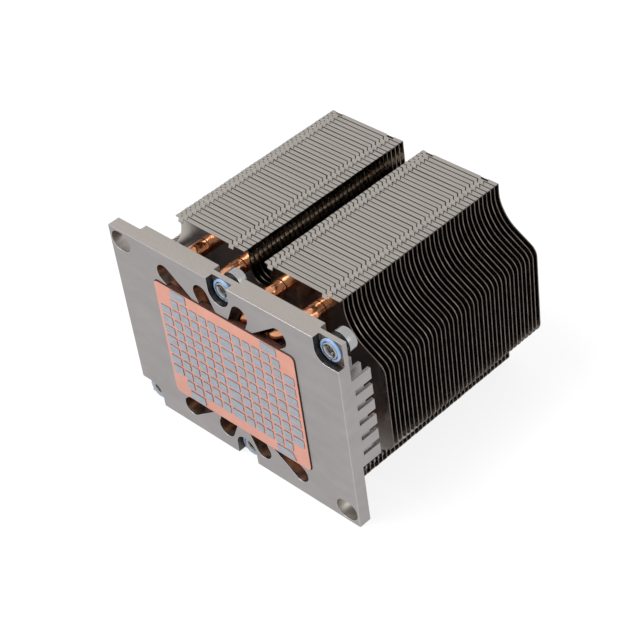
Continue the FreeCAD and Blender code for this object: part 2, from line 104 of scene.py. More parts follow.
def done():
    """Back to object mode."""
    bpy.ops.object.mode_set(mode="OBJECT")
    return bpy.context.object


def pick_all():
    """Selects the whole of the open mesh."""
    bpy.ops.mesh.select_all(action="SELECT")


def bevel(width, segments):
    """Rounds the selected edges of the open mesh by `width` millimetres."""
    bpy.ops.mesh.bevel(offset=width * MM, segments=segments, affect="EDGES")


def assign(thing, slot, test):
    """Gives the faces of the open mesh that pass the test one of the object's finishes, by its slot."""
    pick(test)
    thing.active_material_index = slot
    bpy.ops.object.material_slot_assign()


def pick(test, sharp=0):
    """Selects what passes the test in the open mesh, by the kind of element that edit mode shows.

    A face is tested by its middle and its normal, an edge by its two ends, and a point by its place, in
    millimetres. An edge has to bend by `sharp` degrees as well.
    """
    mesh = bmesh.from_edit_mesh(bpy.context.edit_object.data)
    vertices, edges, faces = bpy.context.tool_settings.mesh_select_mode
    if faces:
        for face in mesh.faces:
            face.select_set(bool(test(face.calc_center_median() / MM, face.normal)))
    elif edges:
        for edge in mesh.edges:
            bent = math.degrees(edge.calc_face_angle(0)) >= sharp
            edge.select_set(bent and bool(test(edge.verts[0].co / MM, edge.verts[1].co / MM)))
    else:
        for point in mesh.verts:
            point.select_set(bool(test(point.co / MM)))
    mesh.select_flush_mode()
    bmesh.update_edit_mesh(bpy.context.edit_object.data)


# %% [markdown]
# ## Modelling helpers
#
# Every piece starts as a box or a rod at its own place, and a boxed or round tool cuts it. The Boolean
# modifier may number the points of its result in another order each time. Later steps that merge points or
# dissolve edges go by those numbers, so the numbers are set by place after every cut, and the same mesh
# comes out in every run.

# %% Modelling helpers

FAR_CORNER = (0.31, -0.47, 0.23)


def add_box(name, low, high):
    """A box between two corners in millimetres, with its place in its mesh."""
    low, high = Vector(low) * MM, Vector(high) * MM
    bpy.ops.object.select_all(action="DESELECT")
    bpy.ops.mesh.primitive_cube_add(size=1, location=(low + high) / 2, scale=high - low)
    settle(name)
    return bpy.context.object


def add_rod(name, middle, start, length, radius, sides=48):
    """A cylinder along Y from `start`, round (x, z), in millimetres."""
    bpy.ops.object.select_all(action="DESELECT")
    bpy.ops.mesh.primitive_cylinder_add(
        vertices=sides,
        radius=radius * MM,
        depth=length * MM,
        location=Vector((middle[0], start + length / 2, middle[1])) * MM,
        rotation=(math.radians(90), 0, 0),
    )
    settle(name)
    return bpy.context.object


def settle(name):
    """Moves an object's place, turn and scale into its mesh, and names it."""
    thing = bpy.context.object
    thing.name = name
    thing.data.name = name
    bpy.ops.object.transform_apply(location=True, rotation=True, scale=True)
    return thing


def put_in_order(thing):
    """Numbers a mesh's points, edges and faces by their distance from a point that favours no side."""
    bpy.context.scene.cursor.location = FAR_CORNER
    edit(thing)
    pick_all()
    bpy.ops.mesh.sort_elements(type="CURSOR_DISTANCE", elements={"VERT", "EDGE", "FACE"})
    return done()


def carve(thing, tool):
    """Cuts one solid out of another and throws the tool away."""
    only(thing)
    made = thing.modifiers.new("carve", "BOOLEAN")
    made.operation = "DIFFERENCE"
    made.solver = "EXACT"
    made.object = tool
    bpy.ops.object.modifier_apply(modifier=made.name)
    bpy.data.objects.remove(tool)
    return put_in_order(thing)


def clean(thing):
    """Merges points that fell together in the cuts, and opens flat faces that the cuts split."""
    edit(thing)
    pick_all()
    bpy.ops.mesh.remove_doubles(threshold=0.002 * MM)
    bpy.ops.mesh.dissolve_limited(angle_limit=math.radians(1))
    return done()


def round_edges(thing, width, segments=2, angle=35, slot=-1):
    """Breaks a solid's sharp edges by `width` millimetres; the new faces may take a slot of their own."""
    only(thing)
    made = thing.modifiers.new("edges", "BEVEL")
    made.width = width * MM
    made.segments = segments
    made.limit_method = "ANGLE"
    made.angle_limit = math.radians(angle)
    made.miter_outer = "MITER_ARC"
    made.use_clamp_overlap = True
    made.material = slot
    bpy.ops.object.modifier_apply(modifier=made.name)
    return thing


def join(things, name):
    """Makes one object of several."""
    only(*things)
    bpy.ops.object.join()
    return settle(name)


def copy_of(thing, name, move=(0, 0, 0), turn=None):
    """A copy with its own mesh, moved in millimetres and turned in degrees about the Y axis."""
    only(thing)
    bpy.ops.object.duplicate(linked=False)
    made = bpy.context.object
    if turn:
        made.rotation_euler = (0, math.radians(turn), 0)
    made.location = Vector(move) * MM
    return settle(name)


def on_side(tool, side):
    """The tool itself for side 1, or a copy turned half round in its place for side -1."""
    if side > 0:
        return tool
    turned = copy_of(tool, "turned_tool", turn=180)
    bpy.data.objects.remove(tool)
    return turned


def finish(thing, body, node, material=None, smooth=30):
    """Smooths a piece by angle, gives it a material if one is named, and lets it stand for its solid."""
    only(thing)
    bpy.ops.object.shade_smooth_by_angle(angle=math.radians(smooth))
    if material:
        thing.data.materials.clear()
        thing.data.materials.append(material)
    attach(thing, body)
    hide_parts(node)
    return thing


ROOT = "heatsink"
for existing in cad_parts.values():
    existing.select_set(False)
print("nodes in the frame:", len(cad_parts))

# %% [markdown]
# ## Metals
#
# Four metals make this object: milled aluminium, thin rolled aluminium, copper and turned steel. All of
# them are the same idea: a Principled shader with Metallic at 1, a colour, and a roughness that wanders a
# little, because no worked metal is equally smooth all over. The direction of that wandering tells how the
# metal was worked, so the noise is stretched along the tool's path. One node group makes the grain and
# every finish uses it.

# %% A grain that every metal shares


def link(tree, source, target):
    """Joins two sockets."""
    tree.links.new(source, target)


def add_node(tree, kind, values=(), **options):
    """A new node with some of its inputs and options set."""
    node = tree.nodes.new(kind)
    for option, value in options.items():
        setattr(node, option, value)
    for socket, value in dict(values).items():
        node.inputs[socket].default_value = value
    return node


def make_grain():
    """A node group: noise on the object's own coordinates, stretched by a vector."""
    tree = bpy.data.node_groups.new("worked_grain", "ShaderNodeTree")
    tree.interface.new_socket("Stretch", in_out="INPUT", socket_type="NodeSocketVector")
    tree.interface.new_socket("Detail", in_out="INPUT", socket_type="NodeSocketFloat")
    tree.interface.new_socket("Grain", in_out="OUTPUT", socket_type="NodeSocketFloat")
    inside = add_node(tree, "NodeGroupInput")
    outside = add_node(tree, "NodeGroupOutput")
    place = add_node(tree, "ShaderNodeTexCoord")
    stretch = add_node(tree, "ShaderNodeVectorMath", operation="MULTIPLY")
    noise = add_node(tree, "ShaderNodeTexNoise", {"Scale": 1.0, "Roughness": 0.6})
    link(tree, place.outputs["Object"], stretch.inputs[0])
    link(tree, inside.outputs["Stretch"], stretch.inputs[1])
    link(tree, stretch.outputs["Vector"], noise.inputs["Vector"])
    link(tree, inside.outputs["Detail"], noise.inputs["Detail"])
    link(tree, noise.outputs["Fac"], outside.inputs["Grain"])
    return tree


GRAIN = make_grain()


def add_grain(material, stretch, detail):
    """The shared grain as a node of one material; stretch is in waves a metre."""
    values = {"Stretch": stretch, "Detail": detail}
    return add_node(material.node_tree, "ShaderNodeGroup", values, node_tree=GRAIN).outputs["Grain"]


def spread(material, value, low, high):
    """Maps a grain, which hardly ever leaves 0.3 to 0.7, between two values."""
    limits = {"From Min": 0.3, "From Max": 0.7, "To Min": low, "To Max": high}
    node = add_node(material.node_tree, "ShaderNodeMapRange", limits)
    link(material.node_tree, value, node.inputs["Value"])
    return node.outputs["Result"]


def tint(material, value, dark, light):
    """Two colours mixed by a value."""
    ends = {"A": (*dark, 1), "B": (*light, 1)}
    node = add_node(material.node_tree, "ShaderNodeMix", ends, data_type="RGBA")
    link(material.node_tree, value, node.inputs["Factor"])
    return node.outputs["Result"]


def raise_surface(material, value, depth, strength=1.0):
    """Bump of that depth in millimetres."""
    node = add_node(material.node_tree, "ShaderNodeBump", {"Distance": depth * MM, "Strength": strength})
    link(material.node_tree, value, node.inputs["Height"])
    link(material.node_tree, node.outputs["Normal"], shader_of(material).inputs["Normal"])


def shader_of(material):
    """The material's Principled shader."""
    return material.node_tree.nodes["Principled BSDF"]


def new_finish(name, metallic):
    """An empty node material."""
    made = bpy.data.materials.new(name)
    made.use_nodes = True
    shader_of(made).inputs["Metallic"].default_value = metallic
    return made


def feed(material, socket, value):
    """Links a value to the shader."""
    link(material.node_tree, value, shader_of(material).inputs[socket])


def worked(name, grain, rough, dark, light, metallic=1.0, bump=None, clouds=None):
    """A finish in which roughness, relief and colour follow one grain, or colour a broader one, `clouds`.

    A grain is its stretch and its detail, and a bump its depth and its strength.
    """
    made = new_finish(name, metallic)
    fine = add_grain(made, *grain)
    broad = add_grain(made, *clouds) if clouds else fine
    feed(made, "Base Color", tint(made, spread(made, broad, 0, 1), dark, light))
    feed(made, "Roughness", spread(made, fine, *rough))
    if bump:
        raise_surface(made, fine, *bump)
    return made


print("shared node group:", GRAIN.name)

# %% [markdown]
# ## Aluminium
#
# The plate, its edges, its pockets and the fins are all aluminium, and still look like five metals. The mill
# leaves an even satin and rolling draws faint lines along the sheet. The paler sides of the plate are partly
# painted light, its bright edges a painted highlight, its pockets and the rims of the fins painted shade,
# and the brown of its windows painted shade and a painted reflection of the copper.

# %% Aluminium

RECESS_GRAIN = ((420, 420, 420), 4), (0.30, 0.46)
ROLLED = ((60, 2600, 2600), 3)
ROLLED_BUMP = (0.006, 0.5)

# The base plate: face-milled, then tumbled to an even satin grey
GREY = ((0.335, 0.315, 0.315), (0.375, 0.352, 0.350))
EVEN, BROAD = ((5200, 5200, 5200), 3), ((60, 60, 160), 2)
MILLED = worked("milled_aluminium", EVEN, (0.42, 0.56), *GREY, bump=(0.012, 0.7), clouds=BROAD)

# The narrow sides of the plate, cut with the flank of the mill: a warmer, paler satin; the paler tone on
# every narrow side is also painted light, for the light that falls on the top side
WARM_AND_LIT = ((0.345, 0.315, 0.290), (0.405, 0.370, 0.342))
EDGE_MILLED_AND_LIT = worked("edge_milled_aluminium_with_painted_light", ((3600, 900, 3600), 3), (0.36, 0.5), *WARM_AND_LIT, bump=(0.010, 0.6))

# The broken edges, painted bright: a painted highlight along every bevel
HIGHLIGHT_GREY = ((0.44, 0.44, 0.46), (0.58, 0.58, 0.61))
EDGE_HIGHLIGHT = worked("aluminium_painted_edge_highlight", ((2400, 2400, 2400), 2), (0.44, 0.56), *HIGHLIGHT_GREY)

# Walls and floors of pockets and windows are painted darker, as shade: the low pocket walls nearly black,
# the window walls and pocket floors brown, which is also a painted reflection of the copper
POCKET_SHADE = worked("aluminium_painted_pocket_shade", *RECESS_GRAIN, (0.055, 0.048, 0.043), (0.110, 0.097, 0.086))
WINDOW_SHADE_AND_REFLECTION = worked("aluminium_painted_shade_and_copper_reflection", *RECESS_GRAIN, (0.220, 0.170, 0.135), (0.360, 0.290, 0.240))

# The raw rim of a punched sheet: painted dark brown, as the shade on the side of the stack, and dull
RIM_SHADE = ((0.068, 0.053, 0.047), (0.200, 0.160, 0.138))
SHADED_RIM = worked("sheared_aluminium_painted_shade", ((260, 900, 260), 4), (0.20, 0.36), *RIM_SHADE)


def rolled(name, rough, dark, light):
    """Fin stock: rolled sheet with faint lines along the strip."""
    return worked(name, ROLLED, rough, dark, light, bump=ROLLED_BUMP)


FLANGE = rolled("rolled_aluminium", (0.30, 0.42), (0.335, 0.308, 0.284), (0.395, 0.366, 0.337))
SHEET = rolled("bright_rolled_aluminium", (0.14, 0.24), (0.35, 0.318, 0.29), (0.43, 0.392, 0.358))
COLLAR = rolled("drawn_aluminium", (0.18, 0.28), (0.60, 0.53, 0.43), (0.72, 0.64, 0.54))
print("aluminium finishes:", [m.name for m in bpy.data.materials])

# %% [markdown]
# ## Copper, steel, plastic and compound
#
# Copper comes in two states: lapped dull where it meets the processor, and drawn to a mirror on the pipes,
# where shallow dents from the bending bench break up every reflection. Inside the stack the pipe copper is
# painted much darker, as the shade between the fins. The nuts are plated steel, the springs oiled wire, the
# rings pale blue nylon; the nuts' threads and sockets, the copper slab's narrow side and the sides of the
# compound's cells are painted dark as shade. The compound is a waxy film full of metal powder, so its shader
# is only partly metallic.

# %% Copper, steel, plastic and compound


def drawn_copper(name, dark, light):
    """Heat pipes: drawn tube, bent on a mandrel, with shallow dents and a little tarnish."""
    made = worked(name, ((130, 130, 130), 5), (0.13, 0.24), dark, light)
    raise_surface(made, add_grain(made, (270, 270, 270), 1), 0.52)
    return made


def shaded_side(name, dark, light):
    """The narrow side of a slab or a film, painted dark as the shade that falls on it."""
    return worked(name, ((1400, 1400, 1400), 3), (0.4, 0.6), dark, light, metallic=0.5)


PIPE = drawn_copper("drawn_copper", (0.44, 0.170, 0.075), (0.80, 0.40, 0.225))
# The second pipe copper is much darker: painted shade for the stretch between the fins.
PIPE_IN_SHADE = drawn_copper("copper_painted_shade_in_stack", (0.050, 0.022, 0.012), (0.190, 0.082, 0.042))

# The cold plate: lapped flat, so its scratches run every way and it scatters light softly
LAPS, PATCHES = ((4200, 4200, 4200), 4), ((90, 90, 90), 3)
ROSY = ((0.70, 0.350, 0.270), (0.78, 0.405, 0.325))
LAPPED = worked("lapped_copper", LAPS, (0.40, 0.55), *ROSY, bump=(0.010, 0.6), clouds=PATCHES)
COPPER_SIDE_SHADE = shaded_side("copper_side_painted_shade", (0.050, 0.022, 0.016), (0.110, 0.048, 0.034))
FILM_SIDE_SHADE = shaded_side("compound_side_painted_shade", (0.055, 0.038, 0.036), (0.110, 0.078, 0.072))

# The nuts: turned from bar and nickel plated; their threads and sockets are painted dark, as the shade
# inside them
PLATED = ((0.345, 0.345, 0.350), (0.385, 0.385, 0.390))
STEEL = worked("turned_steel", ((300, 7000, 300), 2), (0.20, 0.28), *PLATED)
BORE_SHADE = ((0.035, 0.035, 0.033), (0.260, 0.255, 0.240))
SHADED_THREAD = worked("thread_painted_shade", ((900, 900, 900), 2), (0.08, 0.2), *BORE_SHADE)

# The springs: oiled black wire
BLACK = ((0.010, 0.010, 0.012), (0.035, 0.035, 0.040))
SPRING = worked("black_wire", ((1500, 1500, 1500), 3), (0.30, 0.48), *BLACK, metallic=0.6)

# The rings: moulded nylon, a pale blue that takes the light softly
BLUE = ((0.205, 0.335, 0.56), (0.265, 0.405, 0.64))
NYLON = worked("blue_nylon", ((900, 900, 900), 3), (0.38, 0.5), *BLUE, metallic=0.0)
shader_of(NYLON).inputs["Subsurface Weight"].default_value = 0.15
shader_of(NYLON).inputs["Subsurface Scale"].default_value = 0.4 * MM

# The printed compound: a waxy grey-blue film full of fine metal powder
POWDER, STREAKS = ((3800, 3800, 3800), 2), ((300, 300, 900), 4)
WAXY = ((0.240, 0.265, 0.305), (0.330, 0.352, 0.392))
COMPOUND = worked("thermal_compound", POWDER, (0.42, 0.62), *WAXY, 0.25, (0.03, 0.8), STREAKS)
print("finishes:", len(bpy.data.materials))

# %% [markdown]
# ## The base plate
#
# On the real heatsink this is a slab of aluminium that went through a milling machine, so it is made here
# as the machinist makes it: a blank is sawn to size, and then each cutter takes its bite. A box, a rod or a
# slot is placed where the cutter goes and a Boolean modifier removes it. The order does not matter to the
# shape, but working from the large cuts to the small ones keeps each step easy to see.

# %% Sizes of the plate, from the frame


def box_mm(node):
    """Lowest and highest corner of a solid of the frame, in millimetres."""
    low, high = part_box(node)
    return low / MM, high / MM


plate_low, plate_high = box_mm("base_plate")
copper_low, copper_high = box_mm("cold_plate")
nut_low, nut_high = box_mm("top_corner_nut")
FRONT = plate_low.y
EAR_BACK = FRONT + 4.9
BACK = FRONT + 7.5
EAR_LENGTH = 11.4
POCKET_BACK = FRONT + 3.0
# Places past all of the plate, where a cutter may start or end
BEHIND = BACK + 20
OUTSIDE = 60
NUT_X = (nut_low.x + nut_high.x) / 2
NUT_Z = (nut_low.z + nut_high.z) / 2
NUT_PLACES = {
    "top_middle": (0, NUT_Z),
    "top_corner": (NUT_X, NUT_Z),
    "bottom_middle": (0, -NUT_Z),
    "bottom_corner": (-NUT_X, -NUT_Z),
}
print("plate front, ear back, back:", FRONT, EAR_BACK, BACK, "nut at", NUT_X, NUT_Z)

# %% Saw the blank and mill its back

COMB_TOP = 22.4
COMB_FOOT = -14.9
BLADE = 1.2
BLADE_PITCH = 4.2
STEP_ROOT = 0.7


def step_cutter(side, x0, x1, z0, z1, root=0.0):
    """A cutter that thins one end down to the ear; `root` rounds the inner corner that it leaves."""
    cutter = add_box("step", (x0, EAR_BACK, z0), (x1, BEHIND, z1))
    if root:
        edit(cutter, "EDGE")
        pick(lambda a, b: max(a.x, b.x) < x0 + 0.01 and max(a.y, b.y) < EAR_BACK + 0.01)
        bevel(root, 5)
        done()
    return on_side(cutter, side)


def plate_blank():
    """A slab as high as its combs: the back is milled away between them, and the ends are stepped down."""
    blank = add_box("machined_plate", (plate_low.x, FRONT, plate_low.z), plate_high)
    root_x = plate_high.x - EAR_LENGTH
    comb_x = plate_high.x - 2 * BLADE_PITCH - BLADE
    carve(blank, add_box("back", (-root_x - 1, BACK, -OUTSIDE), (root_x + 1, BEHIND, OUTSIDE)))
    for side in (1, -1):
        carve(blank, step_cutter(side, root_x, OUTSIDE, COMB_TOP, OUTSIDE, STEP_ROOT))
        carve(blank, step_cutter(side, root_x, OUTSIDE, -OUTSIDE, COMB_FOOT, STEP_ROOT))
        carve(blank, step_cutter(side, root_x, comb_x, -OUTSIDE, OUTSIDE, STEP_ROOT))
    return blank


plate = plate_blank()
print("blank:", len(plate.data.polygons), "faces")

# %% [markdown]
# Both ends carry a comb: three thin blades that a saw then crossed, so that thirty-six small teeth stand in
# rows. They give the thin ends some surface for the air. Two more cutters leave the blades, and the saw
# goes across them in five passes that stop a little above the ear.

# %% Saw the combs

TEETH = 6
TOOTH = 4.8
TOOTH_PITCH = 6.5
KERF = 2.3
KERF_RISE = 0.3
SAW_STOPS = EAR_BACK + 1.0
for side in (1, -1):
    for index in range(2):
        outer = plate_high.x - index * BLADE_PITCH - BLADE
        carve(plate, step_cutter(side, outer - BLADE_PITCH + BLADE, outer, -OUTSIDE, OUTSIDE))
    for index in range(TEETH - 1):
        top = COMB_TOP - TOOTH - index * TOOTH_PITCH + KERF_RISE
        low = (plate_high.x - EAR_LENGTH + 0.4, SAW_STOPS, top - KERF)
        carve(plate, on_side(add_box("saw", low, (OUTSIDE, BEHIND, top)), side))
print("combs sawn:", len(plate.data.polygons), "faces")

# %% [markdown]
# A slot is what an end mill leaves when it goes into the metal and then travels. It starts as a rod, the
# mill itself, and half of the rod's points are then moved along the path.

# %% A slot cutter


def slot_cutter(middle, travel, radius, start, end):
    """A round-ended slot: a rod at `middle` (x, z) of which one half is moved by `travel`."""
    cutter = add_rod("slot", middle, start, end - start, radius, 40)
    edit(cutter, "VERT")
    way = Vector(travel)
    pick(lambda p: (p.x - middle[0]) * way.x + (p.z - middle[1]) * way.y > 0)
    bpy.ops.transform.translate(value=(way.x * MM, 0, way.y * MM))
    return done()


# %% [markdown]
# Each pipe leaves the plate through a slanted window, eight in all, and lies in a channel between its two
# windows. A window is one pass of the mill along the pipe's slant. The pass runs on a little past the
# window's end, into the channel, so that no web is left between them.

# %% Windows and channels for the pipes

PIPE_BASE = {"inner": 5.0, "outer": 14.5}
PIPE_LEG = {"inner": 9.5, "outer": 27.5}
LEG_Z = 30.0
RUN_HALF = 21.0
WINDOW_RADIUS = 3.75
CHANNEL_HALF = 3.1


def window_cutter(x_side, z_side, which):
    """The pass of the mill that opens one window, from its outer tip towards the channel."""
    tip = Vector((x_side * (PIPE_LEG[which] - 0.3), z_side * (LEG_Z + 0.1)))
    root = Vector((x_side * PIPE_BASE[which], z_side * RUN_HALF))
    return slot_cutter(tip, (root - tip) * 1.25, WINDOW_RADIUS, FRONT - 1, BACK + 1)


def channel_cutter(middle):
    """The straight channel for the stretch of pipe behind the copper."""
    low = (middle - CHANNEL_HALF, FRONT - 1, -RUN_HALF)
    return add_box("channel", low, (middle + CHANNEL_HALF, BACK + 1, RUN_HALF))


for x_side in (-1, 1):
    for z_side in (-1, 1):
        for which in PIPE_BASE:
            carve(plate, window_cutter(x_side, z_side, which))
for x_side in (-1, 1):
    for base in PIPE_BASE.values():
        carve(plate, channel_cutter(x_side * base))
print("pipe windows cut:", len(plate.data.polygons), "faces")

# %% [markdown]
# The copper drops into a shallow seat. A mill cannot leave a sharp inner corner, so the seat's cutter is a
# box with its four upright edges bevelled round.

# %% The seat for the copper

SEAT_GAP = 0.3
SEAT_CORNER = 2.1


def pick_upright(cutter):
    """Opens a box and selects its four edges that run along Y."""
    edit(cutter, "EDGE")
    pick(lambda a, b: abs(a.x - b.x) < 0.01 and abs(a.z - b.z) < 0.01)


def copper_seat():
    """A shallow box whose upright edges are round."""
    low = (copper_low.x - SEAT_GAP, FRONT - 3, copper_low.z - SEAT_GAP)
    cutter = add_box("seat", low, (copper_high.x + SEAT_GAP, copper_high.y, copper_high.z + SEAT_GAP))
    pick_upright(cutter)
    bevel(SEAT_CORNER, 6)
    return done()


carve(plate, copper_seat())
print("seat cut:", len(plate.data.polygons), "faces")

# %% [markdown]
# A nut sits in a pocket in the front of its tab, and its shank passes through a plain hole. At the middles
# of the long edges the pocket is a slot that runs out of the edge, with a wider one behind it for the nut's
# head. At the corners it is open to two edges. The two other corners have a guide hole, slightly longer
# than wide, because it only has to find a post.

# %% Nut seats, shank holes and guide holes

POCKET_RADIUS = 4.9
RELIEF_RADIUS = 6.2
SHANK_HOLE = 3.75
TO_EDGE = 12
GUIDES = ((-48.5, 34.3), (48.5, -34.3))
GUIDE_RADIUS = 4.0
GUIDE_TRAVEL = 1.5


def corner_pocket(x, z, radius):
    """A cutter that is open to both edges of the plate, with one round corner that follows the nut."""
    away_x, away_z = math.copysign(TO_EDGE, x), math.copysign(TO_EDGE, z)
    inner_x, inner_z = x - math.copysign(radius, x), z - math.copysign(radius, z)
    low = (min(inner_x, x + away_x), FRONT - 2, min(inner_z, z + away_z))
    high = (max(inner_x, x + away_x), POCKET_BACK, max(inner_z, z + away_z))
    cutter = add_box("pocket", low, high)
    edit(cutter, "EDGE")
    pick(lambda a, b: max(abs(p.x - inner_x) + abs(p.z - inner_z) for p in (a, b)) < 0.01)
    bevel(radius, 12)
    return done()


for x, z in NUT_PLACES.values():
    if abs(x) > 1:
        carve(plate, corner_pocket(x, z, POCKET_RADIUS))
    else:
        edge = (0, math.copysign(TO_EDGE, z))
        carve(plate, slot_cutter((x, z), edge, POCKET_RADIUS, FRONT - 2, POCKET_BACK))
        carve(plate, slot_cutter((x, z), edge, RELIEF_RADIUS, EAR_BACK, BACK + 3))
    carve(plate, add_rod("shank_hole", (x, z), FRONT - 1, BACK - FRONT + 4, SHANK_HOLE, 40))
for x, z in GUIDES:
    start = (x - GUIDE_TRAVEL / 2, z)
    carve(plate, slot_cutter(start, (GUIDE_TRAVEL, 0), GUIDE_RADIUS, FRONT - 1, BACK + 3))
print("seats and holes cut:", len(plate.data.polygons), "faces")

# %% [markdown]
# The finished plate is tumbled, which breaks its edges. Each kind of face gets its own look: satin front and
# back, paler sides that also carry painted light, windows and pocket floors painted brown as shade and as
# the copper's reflection, low pocket walls painted dark as shade, and edges painted bright as a highlight.
# The faces get their slots first, because a bevel hands the new faces the slot that it is told. The front
# edges are broken a little wider.

# %% Break the edges and finish

PLATE_FINISHES = [MILLED, EDGE_MILLED_AND_LIT, EDGE_HIGHLIGHT, POCKET_SHADE, WINDOW_SHADE_AND_REFLECTION]
FRONT_BREAK = 0.26
EDGE_BREAK = 0.14
clean(plate)
for material in PLATE_FINISHES:
    plate.data.materials.append(material)


def is_edge_face(middle, normal):
    """The narrow outer sides of the plate and of its teeth, and the walls of its holes."""
    return abs(normal.y) < 0.5 and middle.y < BACK + 0.1


def is_window_face(middle, normal):
    """Walls of the windows and floors of the nut pockets, but not the guide holes."""
    outside = abs(middle.x) > plate_high.x - 0.1 or abs(middle.z) > plate_high.z - 0.1
    by_guide = any(abs(middle.x - x) + abs(middle.z - z) < 8 for x, z in GUIDES)
    wall = abs(normal.y) < 0.5
    floor_of_pocket = normal.y < -0.9 and middle.y > FRONT + 0.1
    return (wall or floor_of_pocket) and middle.y < EAR_BACK - 0.1 and not outside and not by_guide


def is_pocket_wall(middle, normal):
    """The low walls of the nut pockets and of the copper's seat, which get the darkest painted shade."""
    low_wall = abs(normal.y) < 0.5 and middle.y < FRONT + 2.2
    return low_wall and is_window_face(middle, normal)


# The bevels take the slot with the painted edge highlight.
bright = PLATE_FINISHES.index(EDGE_HIGHLIGHT)
# Narrow sides get the paler satin with painted light, windows and pocket floors painted shade and copper
# reflection, low pocket walls the darkest painted shade.
edit(plate)
for material, test in ((EDGE_MILLED_AND_LIT, is_edge_face), (WINDOW_SHADE_AND_REFLECTION, is_window_face), (POCKET_SHADE, is_pocket_wall)):
    assign(plate, PLATE_FINISHES.index(material), test)
bpy.ops.mesh.select_mode(type="EDGE")
pick(lambda a, b: max(a.y, b.y) < FRONT + 0.01, sharp=30)
bpy.ops.mesh.bevel(offset=FRONT_BREAK * MM, segments=2, affect="EDGES", clamp_overlap=True, material=bright)
done()
round_edges(plate, EDGE_BREAK, 2, slot=bright)
finish(plate, ROOT, "base_plate", smooth=15)
print("base plate finished:", len(plate.data.polygons), "faces")

# %% [markdown]
# ## The cold plate
#
# Copper carries heat faster than aluminium, so the face that meets the processor is a slab of it, let into
# the plate. Its corners are round, like those of its seat but a little smaller. A box with its four upright
# edges bevelled is exactly that. Its face is lapped, and its narrow side is painted dark, as the shade in
# the narrow gap of its seat.

# %% The cold plate

COPPER_CORNER = 1.8
COPPER_BREAK = 0.12


def paint_sides(thing, front, side):
    """One finish on what faces along Y, another on what faces across it."""
    for material in (front, side):
        thing.data.materials.append(material)
    edit(thing)
    assign(thing, 1, lambda middle, normal: abs(normal.y) < 0.4)
    done()


def cold_plate():
    """A slab with round corners and slightly broken edges."""
    slab = add_box("copper_slab", copper_low, copper_high)
    pick_upright(slab)
    bevel(COPPER_CORNER, 6)
    done()
    round_edges(slab, COPPER_BREAK, 2)
    # The slab's narrow sides take copper painted dark as shade.
    paint_sides(slab, LAPPED, COPPER_SIDE_SHADE)
    return finish(slab, ROOT, "cold_plate")


print("cold plate:", len(cold_plate().data.polygons), "faces")

# %% [markdown]
# ## The thermal pads
#
# The compound is printed through a stencil in small rectangles, so that it spreads evenly when the heatsink
# is screwed down. A print is never perfect: corners are round and each cell is a little larger or smaller
# than the next. No two cells are alike, so none is a copy: each is a low box of its own size from a seeded
# generator, and all are joined into one print. One corner of one pad was dragged out when the stencil was
# lifted.

# %% The printed grid

pads_low, pads_high = box_mm("thermal_pads")
CELL = 3.65
CELL_PITCH = 4.65
ROW_PITCH = 4.6
MIDDLE_CELL = 6.15
MIDDLE_SPACE = 6.2
END_CELL = 5.0
END_X = 29.85
CORNER_PAD = 7.6
CORNER_X = 21.8
CORNER_Z = 22.97
CELL_CORNER = 0.32
DRAG = (1.4, 0, 0.15)
scatter = random.Random(11)


def printed_cell(x, z, width, height):
    """One low block of compound with round corners and a soft top edge."""
    width *= scatter.uniform(0.965, 1.0)
    height *= scatter.uniform(0.965, 1.0)
    thick = (pads_high.y - pads_low.y) * scatter.uniform(0.9, 1.0)
    x += scatter.uniform(-0.05, 0.05)
    z += scatter.uniform(-0.05, 0.05)
    low = (x - width / 2, pads_high.y - thick, z - height / 2)
    cell = add_box("cell", low, (x + width / 2, pads_high.y, z + height / 2))
    pick_upright(cell)
    bevel(CELL_CORNER, 2)
    return done()


def printed_grid():
    """A wide middle column, five columns each side, end cells in the middle rows, and four corner pads."""
    cells = []
    first = MIDDLE_SPACE / 2 + CELL_PITCH - CELL / 2
    for row in range(-4, 5):
        z = row * ROW_PITCH
        cells.append(printed_cell(0, z, MIDDLE_CELL, CELL))
        for side in (-1, 1):
            for column in range(5):
                cells.append(printed_cell(side * (first + column * CELL_PITCH), z, CELL, CELL))
            if abs(row) <= 3:
                cells.append(printed_cell(side * END_X, z, END_CELL, CELL))
    for x in (-CORNER_X, CORNER_X):
        for z in (-CORNER_Z, CORNER_Z):
            cells.append(printed_cell(x, z, CORNER_PAD, CELL))
    return cells


print_cells = printed_grid()
pads = join(print_cells, "printed_compound")
edit(pads, "VERT")
pick(lambda p: p.x > CORNER_X + CORNER_PAD / 4 and p.z < -CORNER_Z)
bpy.ops.transform.translate(value=Vector(DRAG) * MM)
done()
# The cells' narrow sides take compound painted dark as shade.
paint_sides(pads, COMPOUND, FILM_SIDE_SHADE)
finish(pads, ROOT, "thermal_pads")
print("printed cells:", len(print_cells), "with", len(pads.data.polygons), "faces")

# %% [markdown]
# ## The heat pipes
#
# A heat pipe is a sealed copper tube with a wet wick inside. It crosses behind the cold plate, slants
# outwards in its window, turns through a right angle and climbs through every fin. The tube was bent round a
# former, so the model is made the same way: a ring at the tip is extruded down the leg, spun through the
# bend, extruded along the slant, spun through the kink and extruded to the middle. A Mirror modifier gives
# the other half. Inside the stack that stretch of the leg gets a finish of its own: the copper painted much
# darker, as the shade between the fins.

# %% Pipe sizes, from the frame

pipe_low, pipe_high = box_mm("heat_pipe_1")
PIPE_RADIUS = 2.94
PIPE_Y = pipe_low.y + 3.0
PIPE_TIP = pipe_high.y
BEND = 8.5
KINK = 5.5
TIP_ROUND = 1.1
SHADE_START = box_mm("fin_02")[0].y
SHADE_END = PIPE_TIP - 1.2
print("pipes from", round(PIPE_Y, 2), "to", round(PIPE_TIP, 2), "soldered from", round(SHADE_START, 2))

# %% Bend one pipe


